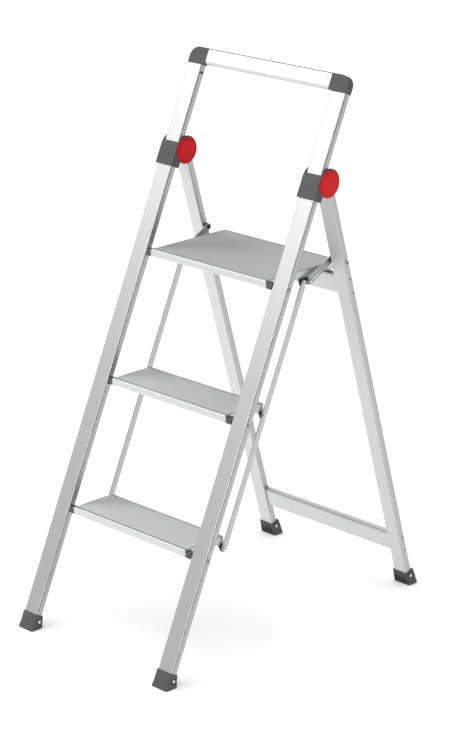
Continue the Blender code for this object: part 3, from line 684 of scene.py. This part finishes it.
ROD_PIN = (0.091, -0.0148)
ARM_PIN = (0.10312, -0.0136)
ARM_RIVET = tuple((REAR_AXES.inverted() @ joint_place("fold_arm_left_pivot"))[1:])
ARM_PIN_PROUD = 0.0016
WEB_END, WEB_HALF = 0.0085, 0.0027
HEAD_SINK = 0.0004
FLUSH = 0.00016
RIVET_BACK, RIVET_SPREAD = 0.0098, 0.0155
# A domed head: share of its radius, share of its height
DOME = ((0, 1), (0.5, 0.92), (0.85, 0.62), (1, 0.1))
SHOE_TAPER = 0.0006
SHOE_RIVETS = (("front", FRONT_AXES, (0.0105, 0.0215)), ("rear", REAR_AXES, (0.0080, REAR_FLOOR + 0.0205)))
# Radius, rise, material and slot of the two turned parts of a shoe rivet; the black disc around the rivet is
# painted shade of the recess.
SHOE_RIVET_PARTS = (("recess", 0.0056, 0.0004, "black", "black_plastic"),
                    ("rivet", 0.0036, 0.0011, "rivet", "frame_aluminium"))


def reach(node):
    """How far a node reaches sideways from the middle of the stool."""
    low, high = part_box(node)
    return max(abs(low[0]), abs(high[0]))


def build_button(name, axes, centre, x, side, radius, rise, material, body, sink=HEAD_SINK):
    """A low domed rivet head, standing out from a side face at X."""
    profile = [(radius * out, x + rise * up) for out, up in DOME]
    profile += [(radius, x - sink), (0, x - sink)]
    mesh = bmesh.new()
    lathe(mesh, profile, centre, 24, side)
    piece(name, mesh, axes, MAT[material], body, sharp=60)


def build_arm_channel(name, side):
    """The bright web along a fold arm's outer face, and the staked end of its lower pin."""
    pin_end = reach(f"fold_arm_{name}")
    face = pin_end - ARM_PIN_PROUD
    top = joint_place(f"fold_arm_{name}_pivot")
    foot = TREAD_AXES["platform"] @ Vector((0, *ARM_PIN))
    run = (foot - top).normalized()
    start, end = top + run * WEB_END, foot - run * WEB_END
    lean = math.degrees(math.atan2(run.z, run.y))
    outline = arc(start.y, start.z, WEB_HALF, lean + 90, lean + 270, 10)
    outline += arc(end.y, end.z, WEB_HALF, lean - 90, lean + 90, 10)
    mesh = bmesh.new()
    prism(mesh, outline, side * (face - 0.0002), side * (face + 0.0004), along_x)
    piece(f"fold_arm_{name}_web", mesh, Matrix.Identity(4), MAT["rod"],
          f"fold_arm_{name}_body", bevel=0.0002, segments=2)
    build_button(f"fold_arm_{name}_pin_centre", TREAD_AXES["platform"], ARM_PIN, pin_end, side,
                 0.0020, 0.0003, "rivet", f"fold_arm_{name}_body")


def build_rear_frame_rivets(name, side):
    """Crossbar rivets on a rear stile, and the cover and centre of the rivet that a fold arm turns on."""
    for which, drop in CROSSBARS:
        for step, up in (("lower", -RIVET_SPREAD), ("upper", RIVET_SPREAD)):
            centre = (RIVET_BACK, -drop - CROSSBAR_HEIGHT / 2 + up)
            build_button(f"{which}_crossbar_rivet_{name}_{step}", REAR_AXES, centre, STILE_X + REAR_HALF,
                         side, 0.0018, 0.0006, "black", "rear_frame")
    end = reach(f"fold_arm_rivet_{name}")
    build_button(f"fold_arm_rivet_{name}_head", REAR_AXES, ARM_RIVET, end, side,
                 0.0050, 0.0002, "stile_side_shade", "rear_frame", sink=0.0014)
    build_button(f"fold_arm_rivet_{name}_centre", REAR_AXES, ARM_RIVET, end + 0.0002, side,
                 0.0022, 0.0003, "black", "rear_frame")


def build_tread_pin_centres(tread, name, side):
    """A dark centre on the pivot pin, and a bright, nearly flush head with a dark centre on the rod pin."""
    axes, body = TREAD_AXES[tread], f"{tread}_body"
    build_button(f"{tread}_pivot_centre_{name}", axes, (0, 0), reach(f"{tread}_pivot_pin_{name}"), side,
                 0.0016, 0.0005, "black", body)
    end = reach(f"{tread}_rod_pin_{name}")
    build_button(f"{tread}_rod_head_{name}", axes, ROD_PIN, end, side,
                 0.0043, FLUSH / 2, "rivet", body)
    build_button(f"{tread}_rod_centre_{name}", axes, ROD_PIN, end, side,
                 0.0022, FLUSH, "black", body)


def build_rivets():
    for name, side in SIDES:
        build_rear_frame_rivets(name, side)
        build_arm_channel(name, side)
    for tread in TREAD_AXES:
        for name, side in SIDES:
            build_tread_pin_centres(tread, name, side)


def build_shoe_rivets():
    """A bright rivet on both sides of every shoe, in a black disc that stands proud of the face: painted shade
    of the recess around the rivet.
    """
    for stem, axes, centre in SHOE_RIVETS:
        for name, side in SIDES:
            face = half_width(f"{stem}_foot_{name}") - SHOE_TAPER
            for where, way in FACES:
                for part, radius, rise, material, slot in SHOE_RIVET_PARTS:
                    profile = [(0, face + rise), (radius * 0.7, face + rise * 0.8), (radius, face),
                               (radius, face - 0.001), (0, face - 0.001)]
                    mesh = bmesh.new()
                    lathe(mesh, profile, centre, 24, side * way)
                    bmesh.ops.translate(mesh, vec=(side * STILE_X, 0, 0), verts=mesh.verts)
                    piece(f"{stem}_shoe_{part}_{name}_{where}", mesh, axes, MAT[material],
                          f"{stem}_frame", sharp=60)


# ------------------------------------------------------------------ CAD nodes that keep their shape

def keep(names, material, bevel, segments=2, edge=None):
    """CAD nodes shown as they are, with rounded edges and their own finish; an edge material, where given,
    colours the bevelled edges dark as painted shade.
    """
    for name in names:
        obj = frame["nodes"][name]
        obj.data.materials.clear()
        obj.data.materials.append(material)
        weld = obj.modifiers.new("weld", "WELD")
        weld.merge_threshold = 0.00001
        flat = obj.modifiers.new("flat", "DECIMATE")
        flat.decimate_type = "DISSOLVE"
        flat.angle_limit = math.radians(1)
        refine(obj, bevel, segments)
        if edge:
            obj.data.materials.append(edge)
            obj.modifiers["edges"].material = 1


def both(*stems):
    return [f"{stem}_{side}" for stem in stems for side, _ in SIDES]


def finish_kept_nodes():
    keep(both("hinge_collar"), MAT["grey"], 0.0012, 4)
    keep(both("rear_knuckle"), MAT["grey"], 0.0006)
    keep(both("hinge_pin"), MAT["steel"], 0.0)
    keep(both("fold_arm_rivet"), MAT["black"], 0.0)
    keep(both("top_corner_screw"), MAT["black"], 0.0)
    keep(both("platform_rod_pin"), MAT["black"], 0.0)
    for tread in TREAD_AXES:
        keep(both(f"{tread}_pivot_pin"), MAT["stile_side_shade"], 0.0)
        keep(both(f"{tread}_pivot_cap"), MAT["grey"], 0.0009, 3)
        keep(both(f"{tread}_end_plate"), MAT["plate"], 0.0003)
    keep(both("bottom_tread_rod_pin", "middle_tread_rod_pin"), MAT["black"], 0.0)
    keep(both("platform_link_block"), MAT["black"], 0.0006, 3)
    # Push rods: the bevelled edges are coloured dark as painted shade.
    keep(both("push_rod"), MAT["rod"], 0.0005, 3, MAT["stile_edge_shade"])
    # Fold arms: the bevelled edges are coloured dark as painted shade.
    keep(both("fold_arm"), MAT["arm"], 0.0008, 3, MAT["bar_edge_shade"])


# ------------------------------------------------------------------ setting

def build_floor():
    mesh = bmesh.new()
    bmesh.ops.create_grid(mesh, x_segments=1, y_segments=1, size=20)
    data = bpy.data.meshes.new("floor")
    mesh.to_mesh(data)
    mesh.free()
    floor = bpy.data.objects.new("floor", data)
    bpy.context.scene.collection.objects.link(floor)
    paint = bpy.data.materials.new("floor_paint")
    paint.use_nodes = True
    shader = paint.node_tree.nodes["Principled BSDF"]
    socket(shader, "Base Color", (0.96, 0.96, 0.96, 1))
    socket(shader, "Roughness", 0.9)
    socket(shader, "Specular IOR Level", 0.1)
    socket(shader, "Emission Color", (1, 1, 1, 1))
    socket(shader, "Emission Strength", 0.09)
    data.materials.append(paint)


def build_lights():
    world = bpy.data.worlds.new("studio")
    bpy.context.scene.world = world
    world.use_nodes = True
    light_dome(world.node_tree)
    softbox("key", (-2.2, -2.3, 2.75), (0, 0, 1.3), (2.6, 1.5), 28)
    softbox("front", (4.4, -4.5, 1.9), (0, 0, 0.6), (1.3, 2.6), 38)
    softbox("fill", (-2.7, -2.8, 1.15), (0, 0, 0.6), (3.2, 1.8), 5.5)
    sky = bpy.data.lights.new("overhead", "SUN")
    sky.energy = 0.9
    sky.angle = math.radians(70)
    lamp = bpy.data.objects.new("overhead", sky)
    lamp.rotation_euler = (math.radians(12), math.radians(-8), 0)
    bpy.context.scene.collection.objects.link(lamp)


# Brightness of the dome at each height, and how far it falls off towards the right
DOME_LEVELS = ((0.15, 0.40), (0.38, 0.51), (0.62, 1.0))
DOME_FALL = (("From Min", 0.0), ("From Max", 0.8), ("To Min", 1.0), ("To Max", 0.82))


def light_dome(tree):
    """Soft light that is dim near the horizon and to the right, and bright overhead."""
    background = tree.nodes["Background"]
    where = tree.nodes.new("ShaderNodeTexCoord")
    split = tree.nodes.new("ShaderNodeSeparateXYZ")
    ramp = tree.nodes.new("ShaderNodeValToRGB")
    elements = ramp.color_ramp.elements
    elements.new(0.5)
    for element, (height, value) in zip(elements, DOME_LEVELS):
        element.position = height
        element.color = (value, value, value, 1)
    tree.links.new(where.outputs["Generated"], split.inputs["Vector"])
    tree.links.new(split.outputs["Z"], ramp.inputs["Fac"])
    right = tree.nodes.new("ShaderNodeMapRange")
    for name, value in DOME_FALL:
        socket(right, name, value)
    tree.links.new(split.outputs["X"], right.inputs["Value"])
    dim = tree.nodes.new("ShaderNodeMix")
    dim.data_type = "RGBA"
    dim.blend_type = "MULTIPLY"
    socket(dim, "Factor", 1.0)
    tree.links.new(ramp.outputs["Color"], dim.inputs[6])
    tree.links.new(right.outputs["Result"], dim.inputs[7])
    tree.links.new(dim.outputs[2], background.inputs["Color"])
    socket(background, "Strength", 1.0)


def softbox(name, place, aim, size, power):
    """A rectangular light that shines from one point at another and stays out of the picture."""
    light = bpy.data.lights.new(name, "AREA")
    light.shape = "RECTANGLE"
    light.size, light.size_y = size
    light.energy = power
    obj = bpy.data.objects.new(name, light)
    obj.visible_camera = False
    obj.location = place
    obj.rotation_euler = (Vector(aim) - Vector(place)).to_track_quat("-Z", "Y").to_euler()
    bpy.context.scene.collection.objects.link(obj)


LENS, SENSOR, VIEW_END = 122.52, 36, 60
CAMERA_PLACE = Vector((3.2721, -3.2991, 2.0748))
CAMERA_AIM = Vector((0.0600, -0.0429, 0.5378))


def build_camera():
    data = bpy.data.cameras.new("camera")
    data.lens = LENS
    data.sensor_width = SENSOR
    data.clip_end = VIEW_END
    camera = bpy.data.objects.new("camera", data)
    camera.location = CAMERA_PLACE
    camera.rotation_euler = (CAMERA_AIM - CAMERA_PLACE).to_track_quat("-Z", "Y").to_euler()
    bpy.context.scene.collection.objects.link(camera)
    bpy.context.scene.camera = camera


build_front_frame()
build_rear_frame()
build_treads()
build_rivets()
build_shoe_rivets()
finish_kept_nodes()
build_floor()
build_lights()
build_camera()
bpy.context.scene.view_settings.view_transform = "Standard"
